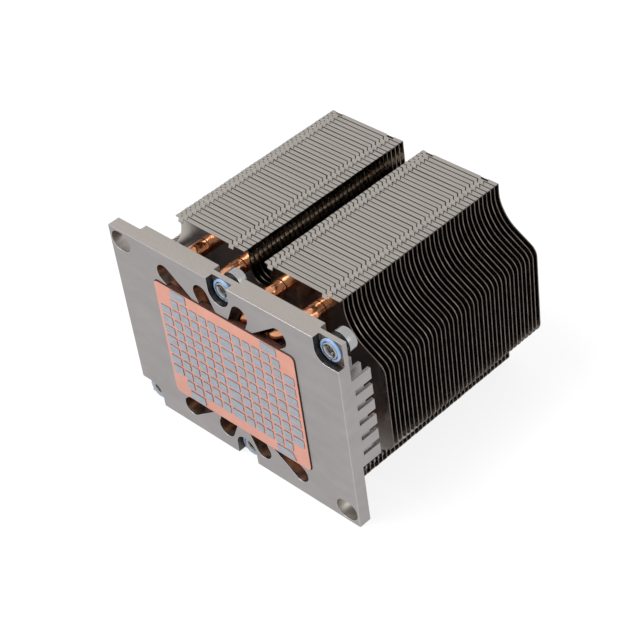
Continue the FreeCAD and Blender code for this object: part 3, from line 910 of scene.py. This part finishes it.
def spin_round(centre, axis, angle, steps):
    """Spins the selected ring round a point; the tool turns the other way round, hence the sign."""
    bpy.ops.mesh.spin(steps=steps, angle=-angle, center=centre * MM, axis=axis)


def push(move):
    """Extrudes the selected ring along a vector in millimetres."""
    bpy.ops.mesh.extrude_region_move(TRANSFORM_OT_translate={"value": move * MM})


def mirror(thing, x=False, z=False):
    """Adds the other half across the middle of the object, merges the seam and turns every face outwards."""
    only(thing)
    made = thing.modifiers.new("other_half", "MIRROR")
    made.use_axis = (x, False, z)
    made.merge_threshold = 0.01 * MM
    bpy.ops.object.modifier_apply(modifier=made.name)
    edit(thing)
    pick_all()
    bpy.ops.mesh.remove_doubles(threshold=0.005 * MM)
    bpy.ops.mesh.normals_make_consistent(inside=False)
    done()
    return thing


def heat_pipe(name, side, which):
    """One bent pipe, made from its tip to the middle of its base run and then mirrored."""
    foot = Vector((side * PIPE_LEG[which], PIPE_Y, LEG_Z))
    root = Vector((side * PIPE_BASE[which], PIPE_Y, RUN_HALF))
    slant = (root - foot).normalized()
    down = Vector((0, -1, 0))
    inwards = Vector((0, 0, -1))
    bpy.ops.object.select_all(action="DESELECT")
    bpy.ops.mesh.primitive_circle_add(
        vertices=32,
        radius=PIPE_RADIUS * MM,
        fill_type="NGON",
        location=Vector((foot.x, PIPE_TIP, foot.z)) * MM,
        rotation=(math.radians(90), 0, 0),
    )
    made = settle(name)
    edit(made, "FACE")
    pick_all()
    push(down * (PIPE_TIP - SHADE_END))
    push(down * (SHADE_END - SHADE_START))
    push(down * (SHADE_START - PIPE_Y - BEND))
    centre = foot + slant * BEND - down * BEND
    spin_round(centre, down.cross(slant), math.radians(90), 12)
    turn = slant.angle(inwards)
    tangent = KINK * math.tan(turn / 2)
    start = foot + slant * BEND
    stop = root - slant * tangent
    push(stop - start)
    across = (inwards - slant * inwards.dot(slant)).normalized()
    spin_round(stop + across * KINK, slant.cross(inwards), turn, 5)
    push(Vector((0, 0, -(RUN_HALF - tangent))))
    bpy.ops.mesh.delete(type="ONLY_FACE")
    bpy.ops.mesh.select_mode(type="EDGE")
    pick(lambda a, b: min(a.y, b.y) > PIPE_TIP - 0.01)
    bevel(TIP_ROUND, 4)
    done()
    return put_in_order(mirror(made, z=True))


PIPES = {
    "heat_pipe_1": (-1, "outer"),
    "heat_pipe_2": (-1, "inner"),
    "heat_pipe_3": (1, "inner"),
    "heat_pipe_4": (1, "outer"),
}
for node, (side, which) in PIPES.items():
    tube = heat_pipe(node.replace("heat", "drawn"), side, which)
    for material in (PIPE, PIPE_IN_SHADE):
        tube.data.materials.append(material)
    # The stretch inside the stack takes the copper painted dark as shade.
    edit(tube)
    assign(tube, 1, lambda middle, normal: SHADE_START < middle.y < SHADE_END)
    done()
    finish(tube, ROOT, node, smooth=40)
print("pipes bent:", len(PIPES), "with", len(tube.data.polygons), "faces each")

# %% [markdown]
# ## The fins
#
# Thirty-eight thin sheets stand on the pipes. Each was punched and folded by one tool: the corners and the
# driver notch are nipped off, eight holes are punched, and a strip along each long edge is folded forward
# as a flange, which sets the gap to the next fin. Small tongues on the flange drop into recesses of the fin
# in front, like a zip. One fin is enough work for the whole stack. A quarter of the sheet is punched first
# and mirrored twice.

# %% Fin sizes, from the frame

fin_low, fin_high = box_mm("fin_01")
next_low, next_high = box_mm("fin_02")
FIN_NODES = sorted(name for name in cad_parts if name.startswith("fin_"))
PITCH = next_high.y - fin_high.y
THICK = 0.4
REACH = fin_high.y - fin_low.y - THICK
SHEET_FRONT = fin_high.y - THICK
SHEET_BACK = fin_high.y
FLANGE_END = 38.8
FIN_END = fin_high.x - 0.06
FIN_TOP = fin_high.z
SLOPE = math.radians(32)
SHOULDER_Z = 27.24
SHOULDER_BEVEL = 7.76
LOWER_BEVEL = 2.49
NOTCH_HALF = 4.75
NOTCH_FLOOR = 26.0
NOTCH_BEVEL = 4.4
PIPE_HOLE = 3.3
print("fins:", len(FIN_NODES), "pitch", round(PITCH, 3), "first sheet from", round(SHEET_FRONT, 2))

# %% Punch a quarter of the sheet


def shoulder_punch():
    """Nips off the upper corner: down beside the flange, round, and then out along the slope."""
    low = (FLANGE_END, SHEET_FRONT - 1, SHOULDER_Z)
    punch = add_box("shoulder_punch", low, (OUTSIDE, SHEET_BACK + 1, OUTSIDE))
    edit(punch, "VERT")
    pick(lambda p: p.x > FIN_END and p.z < SHOULDER_Z + 1)
    bpy.ops.transform.translate(value=(0, 0, -(OUTSIDE - FLANGE_END) * math.tan(SLOPE) * MM))
    bpy.ops.mesh.select_mode(type="EDGE")
    pick(lambda a, b: max(a.x, b.x) < FLANGE_END + 0.01 and max(a.z, b.z) < SHOULDER_Z + 0.01)
    bevel(SHOULDER_BEVEL, 8)
    return done()


def notch_punch():
    """Nips out half of the driver notch, with a round inner corner."""
    punch = add_box("notch_punch", (-5, SHEET_FRONT - 1, NOTCH_FLOOR), (NOTCH_HALF, SHEET_BACK + 1, OUTSIDE))
    edit(punch, "EDGE")
    pick(lambda a, b: min(a.x, b.x) > NOTCH_HALF - 0.05 and max(a.z, b.z) < NOTCH_FLOOR + 0.1)
    bevel(NOTCH_BEVEL, 7)
    return done()


def on_cut(middle, normal):
    """True for the two faces of the quarter that meet its mirror images."""
    return (middle.x < 0.001 and normal.x < -0.9) or (middle.z < 0.001 and normal.z < -0.9)


def fin_sheet():
    """The flat part of a fin: shoulder, notch and holes punched in one quarter, which is then mirrored."""
    sheet = add_box("fin_sheet", (0, SHEET_FRONT, 0), (FIN_END, SHEET_BACK, FIN_TOP))
    carve(sheet, shoulder_punch())
    carve(sheet, notch_punch())
    for leg in PIPE_LEG.values():
        carve(sheet, add_rod("hole_punch", (leg, LEG_Z), SHEET_FRONT - 1, 3, PIPE_HOLE, 28))
    edit(sheet, "EDGE")
    pick(lambda a, b: min(a.x, b.x) > FIN_END - 0.01 and min(a.z, b.z) > 1 and abs(a.z - b.z) < 0.01)
    bevel(LOWER_BEVEL, 4)
    bpy.ops.mesh.select_mode(type="FACE")
    pick(on_cut)
    bpy.ops.mesh.delete(type="FACE")
    done()
    return mirror(sheet, x=True, z=True)


pattern_fin = fin_sheet()
print("one sheet:", len(pattern_fin.data.polygons), "faces")

# %% [markdown]
# The strip along each long edge is bisected from the sheet and extruded forward: that is the fold. It is
# bisected again where each tongue begins and ends, and the piece of its front edge between the cuts is
# extruded forward, a little sideways and a little down. The lower flanges are the upper ones turned half
# round, so the same steps run twice, with the signs of X and Z turned.

# %% Fold the flanges and draw out the tongues

BLOCKS = ((-FLANGE_END, -NOTCH_HALF), (NOTCH_HALF, FLANGE_END))
TONGUE = 2.3
LEAN = 1.2
TONGUE_REACH = 1.35
SINK = 0.22
FOLD_ROUND = 0.35
TONGUE_STARTS = [start for x0, x1 in BLOCKS for start in (x0 + 1.6, x1 - 5.15 - TONGUE)]


def on_tongue(x):
    """True where an upper tongue stands."""
    return any(start < x < start + TONGUE for start in TONGUE_STARTS)


def fold_flanges(fin):
    """Folds both long edges forward and draws the tongues out of them."""
    edit(fin)
    for side in (1, -1):
        pick_all()
        bpy.ops.mesh.bisect(plane_co=(0, 0, side * (FIN_TOP - THICK) * MM), plane_no=(0, 0, 1))
        for start in TONGUE_STARTS:
            for place in (start, start + TONGUE):
                pick_all()
                bpy.ops.mesh.bisect(plane_co=(side * place * MM, 0, 0), plane_no=(1, 0, 0))
    pick(lambda middle, normal: normal.y < -0.9 and abs(middle.z) > FIN_TOP - THICK)
    push(Vector((0, -REACH, 0)))
    tip = SHEET_FRONT - REACH + 0.1
    for side in (1, -1):
        pick(lambda m, n: n.y < -0.9 and m.y < tip and side * m.z > 0 and on_tongue(side * m.x))
        push(Vector((side * LEAN, -TONGUE_REACH, -side * SINK)))
    bpy.ops.mesh.select_mode(type="EDGE")
    pick(lambda a, b: min(a.y, b.y) > SHEET_BACK - 0.01 and min(abs(a.z), abs(b.z)) > FIN_TOP - 0.01)
    bevel(FOLD_ROUND, 3)
    return done()


fold_flanges(pattern_fin)
print("folded:", len(pattern_fin.data.polygons), "faces")

# %% [markdown]
# The recess for a tongue of the fin behind is the same slanted shape with a little room round it, punched
# out of the fold. The punch is a box of which the front four points are moved sideways.

# %% Punch the recesses

RECESS_GAP = 0.42
RECESS_TIP_GAP = 0.3
RECESS_DEPTH = 0.5


def recess_punch(start):
    """The slanted punch that opens the upper fold for one tongue of the fin behind."""
    base = SHEET_FRONT + PITCH - REACH
    tip = base - TONGUE_REACH - RECESS_TIP_GAP
    low = (start - RECESS_GAP, tip, FIN_TOP - RECESS_DEPTH)
    punch = add_box("recess_punch", low, (start + TONGUE + RECESS_GAP, base, FIN_TOP + 1))
    edit(punch, "VERT")
    pick(lambda p: p.y < tip + 0.01)
    bpy.ops.transform.translate(value=(LEAN * 1.13 * MM, 0, 0))
    return done()


for start in TONGUE_STARTS:
    for side in (1, -1):
        carve(pattern_fin, on_side(recess_punch(start), side))
clean(pattern_fin)
print("one whole fin:", len(pattern_fin.data.polygons), "faces")

# %% [markdown]
# Round every hole the sheet is drawn out into a short collar that hugs the pipe, so that heat has more
# metal to pass through than the bare rim of a hole. Each collar is a ring behind its hole, a little shorter
# than the gap.

# %% Draw the collars

COLLAR_LENGTH = 1.4
COLLAR_BORE = PIPE_RADIUS + 0.05


def add_collar(x, z):
    """A thin ring behind the sheet, round one pipe; it starts inside the sheet's thickness."""
    collar = add_rod("collar", (x, z), SHEET_BACK - THICK / 2, COLLAR_LENGTH + THICK / 2, PIPE_HOLE, 20)
    return carve(collar, add_rod("bore", (x, z), SHEET_BACK - 1, COLLAR_LENGTH + 3, COLLAR_BORE, 20))


collars = []
for leg in PIPE_LEG.values():
    for x_side in (1, -1):
        for z_side in (1, -1):
            collars.append(add_collar(x_side * leg, z_side * LEG_Z))
collars = join(collars, "collars")
print("collars:", len(collars.data.polygons), "faces")

# %% [markdown]
# The rolled surface shows two ways. On the folds the sheet is seen flat on, and looks satin. Between the
# fins the sheets see only each other, and look like a dim mirror. The sheared rim is dull and painted dark
# brown, as the shade on the side of the stack. So the fold, the flat and the rim get three finishes, chosen
# by the way a face points. The collars bring a fourth, bright from the punch that drew them, and are joined
# to the sheet.

# %% The finishes of one fin

for material in (SHEET, FLANGE, SHADED_RIM):
    pattern_fin.data.materials.append(material)
edit(pattern_fin)
# The rims take the painted shade of the stack's side.
assign(pattern_fin, 2, lambda middle, normal: abs(normal.y) < 0.5)
assign(pattern_fin, 1, lambda middle, normal: abs(normal.z) > 0.3 and abs(middle.z) > FIN_TOP - THICK)
done()
collars.data.materials.append(COLLAR)
only(pattern_fin, collars)
bpy.ops.object.join()
print("finishes on a fin:", [material.name for material in pattern_fin.data.materials])

# %% [markdown]
# The stack is thirty-eight copies at one pitch. Sheets pushed on by hand in a jig never line up perfectly,
# so each copy is out by a few hundredths of a millimetre, from a seeded generator that gives the same stack
# every time. Only the first and the last sheet keep their exact place along the pipes, because they set the
# stack's length.

# %% Stack the fins

ACROSS = 0.05
ALONG = 0.02
wobble = random.Random(5)
for index, node in enumerate(FIN_NODES):
    aside = wobble.uniform(-ACROSS, ACROSS)
    along = wobble.uniform(-ALONG, ALONG)
    up = wobble.uniform(-ACROSS, ACROSS)
    if index in (0, len(FIN_NODES) - 1):
        along = 0
    fin = copy_of(pattern_fin, node.replace("fin", "zip_fin"), move=(aside, index * PITCH + along, up))
    finish(fin, ROOT, node, smooth=40)
bpy.data.objects.remove(pattern_fin)
print("fins stacked:", len(FIN_NODES))

# %% [markdown]
# ## The captive nuts
#
# Each nut is turned from steel bar: a head, a thinner shank that goes through the plate, a thread in its
# mouth for the stud, and a six-lobed socket in its head for the driver. On a lathe every face is a disc, so
# here a rod is added for the head, and everything else comes from its front end face, by extruding the face
# and drawing it in or out. Only the socket is cut, with a driver as the tool.

# %% Turn one nut

HEAD_FRONT = EAR_BACK + 2.0
HEAD_RADIUS = 4.3
HEAD_BEVEL = 0.9
SHANK_RADIUS = 3.5
SHANK_END = POCKET_BACK + 0.05
NECK = 3.30
NOSE = nut_low.y + 0.55
NOSE_BEVEL = 0.25
NOSE_RADIUS = NECK - 0.22
MOUTH = 2.55
MOUTH_DEPTH = 0.4
CORE = 1.80
GROOVE = 2.20
THREAD_TURNS = 6
HALF_PITCH = 0.36
BORE_DEPTH = 5.0
NUT_BACK = nut_high.y
SOCKET_FLOOR = NUT_BACK - 2.3
SOCKET_RADIUS = 2.75
MIDDLE = (0, 0)


def draw_to(radius, now, y):
    """Scales the selected disc at height y from one radius to another."""
    factor = radius / now
    bpy.ops.transform.resize(value=(factor, 1, factor), center_override=(0, y * MM, 0))


def turn_outside():
    """Turns the shank, the neck for the ring and the nose out of the front end face of the rod."""
    pick(lambda middle, normal: normal.y < -0.9)
    bpy.ops.mesh.extrude_region_move()
    draw_to(SHANK_RADIUS, HEAD_RADIUS, HEAD_FRONT)
    push(Vector((0, SHANK_END - HEAD_FRONT, 0)))
    bpy.ops.mesh.extrude_region_move()
    draw_to(NECK, SHANK_RADIUS, SHANK_END)
    push(Vector((0, NOSE + NOSE_BEVEL - SHANK_END, 0)))
    push(Vector((0, -NOSE_BEVEL, 0)))
    draw_to(NOSE_RADIUS, NECK, NOSE)


def bore_thread():
    """Countersinks the nose and cuts the thread as rings, groove after crest, down to the bore's end."""
    bpy.ops.mesh.extrude_region_move()
    draw_to(MOUTH, NOSE_RADIUS, NOSE)
    depth = NOSE + MOUTH_DEPTH
    push(Vector((0, MOUTH_DEPTH, 0)))
    draw_to(GROOVE, MOUTH, depth)
    for turn in range(THREAD_TURNS):
        for now, target in ((GROOVE, CORE), (CORE, GROOVE)):
            push(Vector((0, HALF_PITCH, 0)))
            depth += HALF_PITCH
            draw_to(target, now, depth)
    push(Vector((0, NOSE + BORE_DEPTH - depth, 0)))
    draw_to(CORE, GROOVE, NOSE + BORE_DEPTH)


def driver():
    """The six-lobed driver that leaves the socket: a rod whose sides are pressed in six times."""
    tool = add_rod("driver", MIDDLE, SOCKET_FLOOR, 4, SOCKET_RADIUS, 36)
    edit(tool, "VERT")
    for low, high, factor in ((-1.1, -0.6, 0.82), (-0.6, 0.4, 0.92)):
        pick(lambda p: low < math.cos(6 * math.atan2(p.z, p.x)) <= high)
        bpy.ops.transform.resize(value=(factor, 1, factor), center_override=(0, 0, 0))
    return done()


def is_bored(middle, normal):
    """True inside the thread and inside the driver socket."""
    across = math.hypot(middle.x, middle.z)
    in_thread = across < GROOVE + 0.02 and middle.y < SOCKET_FLOOR
    in_socket = across < SOCKET_RADIUS + 0.05 and SOCKET_FLOOR - 0.1 < middle.y < NUT_BACK - 0.05
    return in_thread or in_socket


def turned_nut():
    """Head, shank, countersunk thread and driver socket."""
    nut = add_rod("nut_pattern", MIDDLE, HEAD_FRONT, NUT_BACK - HEAD_FRONT, HEAD_RADIUS, 48)
    edit(nut, "EDGE")
    pick(lambda a, b: min(a.y, b.y) > NUT_BACK - 0.01)
    bevel(HEAD_BEVEL, 4)
    bpy.ops.mesh.select_mode(type="FACE")
    turn_outside()
    bore_thread()
    done()
    carve(nut, driver())
    for material in (STEEL, SHADED_THREAD):
        nut.data.materials.append(material)
    # The thread and the driver socket take steel painted dark as the shade inside them.
    edit(nut)
    assign(nut, 1, is_bored)
    return done()


nut_pattern = turned_nut()
print("one nut:", len(nut_pattern.data.polygons), "faces")

# %% [markdown]
# Under the head sits a short spring, wound from wire: a small circle beside the axis, which a Screw
# modifier winds up twice. In front of the tab a split ring of nylon grips the nut's neck, so that the nut
# cannot fall out.

# %% Wind the spring and cut the ring

WIRE_RADIUS = 0.25
COIL_RADIUS = 3.9
COIL_PITCH = 0.75
RING_RADIUS = 4.2
RING_BORE = NECK + 0.06
RING_INSET = 0.3
SLIT_HALF = 0.3


def wound_spring():
    """Two open turns of round wire, with closed ends."""
    bpy.ops.object.select_all(action="DESELECT")
    bpy.ops.mesh.primitive_circle_add(
        vertices=10,
        radius=WIRE_RADIUS * MM,
        location=Vector((COIL_RADIUS, EAR_BACK + WIRE_RADIUS, 0)) * MM,
    )
    spring = settle("spring_pattern")
    only(spring)
    winding = spring.modifiers.new("winding", "SCREW")
    winding.axis = "Y"
    winding.angle = math.radians(360)
    winding.screw_offset = COIL_PITCH * MM
    winding.iterations = 2
    winding.steps = winding.render_steps = 40
    winding.use_merge_vertices = True
    winding.merge_threshold = 0.001 * MM
    bpy.ops.object.modifier_apply(modifier=winding.name)
    edit(spring, "EDGE")
    pick_all()
    bpy.ops.mesh.fill_holes(sides=0)
    pick_all()
    bpy.ops.mesh.normals_make_consistent(inside=False)
    return done()


def split_ring():
    """A flat nylon ring with a slit, a little further back in its pocket than its solid's front."""
    ring_low, ring_high = box_mm("top_middle_ring")
    start = ring_low.y + RING_INSET
    width = ring_high.y - start
    ring = add_rod("ring_pattern", MIDDLE, start, width, RING_RADIUS, 56)
    carve(ring, add_rod("bore", MIDDLE, start - 1, width + 2, RING_BORE, 56))
    carve(ring, add_box("slit", (-SLIT_HALF, start - 1, -6), (SLIT_HALF, ring_high.y + 1, 0)))
    return round_edges(ring, 0.2, 2, 50)


spring_pattern = wound_spring()
ring_pattern = split_ring()
print("spring:", len(spring_pattern.data.polygons), "faces; ring:", len(ring_pattern.data.polygons), "faces")

# %% [markdown]
# Each nut rides on its own body, because it turns and can be pressed in against its spring. The spring stays
# with the heatsink.

# %% Set the four nuts in their tabs

for place, (x, z) in NUT_PLACES.items():
    turn = 180 if z < 0 else 0
    nut = copy_of(nut_pattern, f"{place}_turned_nut", move=(x, 0, z), turn=turn)
    finish(nut, f"{place}_screw", f"{place}_nut", smooth=25)
    ring = copy_of(ring_pattern, f"{place}_split_ring", move=(x, 0, z), turn=turn)
    finish(ring, f"{place}_carrier", f"{place}_ring", NYLON)
    spring = copy_of(spring_pattern, f"{place}_wound_spring", move=(x, 0, z), turn=turn)
    finish(spring, ROOT, f"{place}_spring", SPRING, 60)
    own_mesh(spring)
for pattern in (nut_pattern, spring_pattern, ring_pattern):
    bpy.data.objects.remove(pattern)
print("nuts set:", len(NUT_PLACES))

# %% [markdown]
# ## Floor, light and camera
#
# The floor is a wide pale sheet that keeps the shadow. The world is white wherever the camera or a mirror
# looks at it, and a little dimmer for the light it gives, so that soft lamps can still shape the object.
# The floor does the same with most of its colour, which leaves only a light shadow under the fins.

# %% Floor and world

FLOOR_WIDTH = 4
WHITE_SHARE = 0.82
WORLD_LEVEL = 0.8


def seen_directly(tree):
    """1 for rays from the camera and for rays that a mirror or a glass sends on, 0 for all others."""
    path = tree.nodes.new("ShaderNodeLightPath")
    first, second = [add_node(tree, "ShaderNodeMath", operation="MAXIMUM") for _ in range(2)]
    link(tree, path.outputs["Is Camera Ray"], first.inputs[0])
    link(tree, path.outputs["Is Glossy Ray"], first.inputs[1])
    link(tree, first.outputs["Value"], second.inputs[0])
    link(tree, path.outputs["Is Transmission Ray"], second.inputs[1])
    return second.outputs["Value"]


def add_floor():
    """A wide sheet under the object; most of what the camera sees of it is plain white."""
    bpy.ops.object.select_all(action="DESELECT")
    bpy.ops.mesh.primitive_plane_add(size=FLOOR_WIDTH, location=(0, 0, cad_low[2]))
    floor = settle("floor")
    pale = bpy.data.materials.new("pale_floor")
    pale.use_nodes = True
    tree = pale.node_tree
    shader = shader_of(pale)
    shader.inputs["Base Color"].default_value = (0.93, 0.93, 0.93, 1)
    shader.inputs["Roughness"].default_value = 0.9
    shader.inputs["Specular IOR Level"].default_value = 0.0
    glow = add_node(tree, "ShaderNodeEmission")
    mix = add_node(tree, "ShaderNodeMixShader")
    share = add_node(tree, "ShaderNodeMath", {1: WHITE_SHARE}, operation="MULTIPLY")
    link(tree, seen_directly(tree), share.inputs[0])
    link(tree, share.outputs["Value"], mix.inputs["Fac"])
    link(tree, shader.outputs["BSDF"], mix.inputs[1])
    link(tree, glow.outputs["Emission"], mix.inputs[2])
    link(tree, mix.outputs["Shader"], tree.nodes["Material Output"].inputs["Surface"])
    floor.data.materials.append(pale)


def light_world(strength):
    """White to the camera and to mirrors, `strength` as a lamp."""
    world = bpy.data.worlds.new("studio")
    bpy.context.scene.world = world
    world.use_nodes = True
    tree = world.node_tree
    background = tree.nodes["Background"]
    background.inputs["Color"].default_value = (1, 1, 1, 1)
    level = add_node(tree, "ShaderNodeMapRange", {"To Min": strength, "To Max": 1.0})
    link(tree, seen_directly(tree), level.inputs["Value"])
    link(tree, level.outputs["Result"], background.inputs["Strength"])


add_floor()
light_world(WORLD_LEVEL)
print("floor at", round(cad_low[2] / MM, 1), "mm, world as a lamp:", WORLD_LEVEL)

# %% [markdown]
# Two soft boxes shape the metal: a key lamp high on the side of the camera, and a weak one on the other
# side. They are small next to the white world, so that every colour renders about as it is written.

# %% Soft lamps


def add_lamp(name, place, aim, size, watts):
    """A square soft box at `place` that looks at `aim`, both in metres."""
    bpy.ops.object.light_add(type="AREA", location=place)
    lamp = bpy.context.object
    lamp.name = name
    lamp.data.shape = "SQUARE"
    lamp.data.size = size
    lamp.data.energy = watts
    way = Vector(aim) - Vector(place)
    lamp.rotation_euler = way.to_track_quat("-Z", "Y").to_euler()


AIM = (0, 0.04, 0)
add_lamp("key_softbox", (-0.25, -0.35, 1.0), AIM, 0.5, 9)
add_lamp("fill_softbox", (0.9, 0.2, 0.5), AIM, 0.6, 3)

# %% [markdown]
# The camera looks down on the copper side from the right, through a long lens, as one would look at a part
# held at arm's length. It is tilted a few degrees to its side, so that the plate leans a little in the
# view.

# %% Camera

CAMERA_PLACE = (0.37627, -0.27608, 0.40325)
CAMERA_TURN = (50.094, 6.509, 44.364)
bpy.ops.object.camera_add(location=CAMERA_PLACE, rotation=[math.radians(angle) for angle in CAMERA_TURN])
camera = bpy.context.object
camera.data.lens = 103.05
camera.data.sensor_width = 36.0
bpy.context.scene.camera = camera
bpy.context.scene.view_settings.view_transform = "Standard"
print("camera:", camera.name, "with a lens of", round(camera.data.lens, 1), "mm")

# %% [markdown]
# The last cell prints the frame's box.

# %% Print the frame's box
print("frame in mm:", [round(v / MM, 2) for v in (*cad_low, *cad_high)])
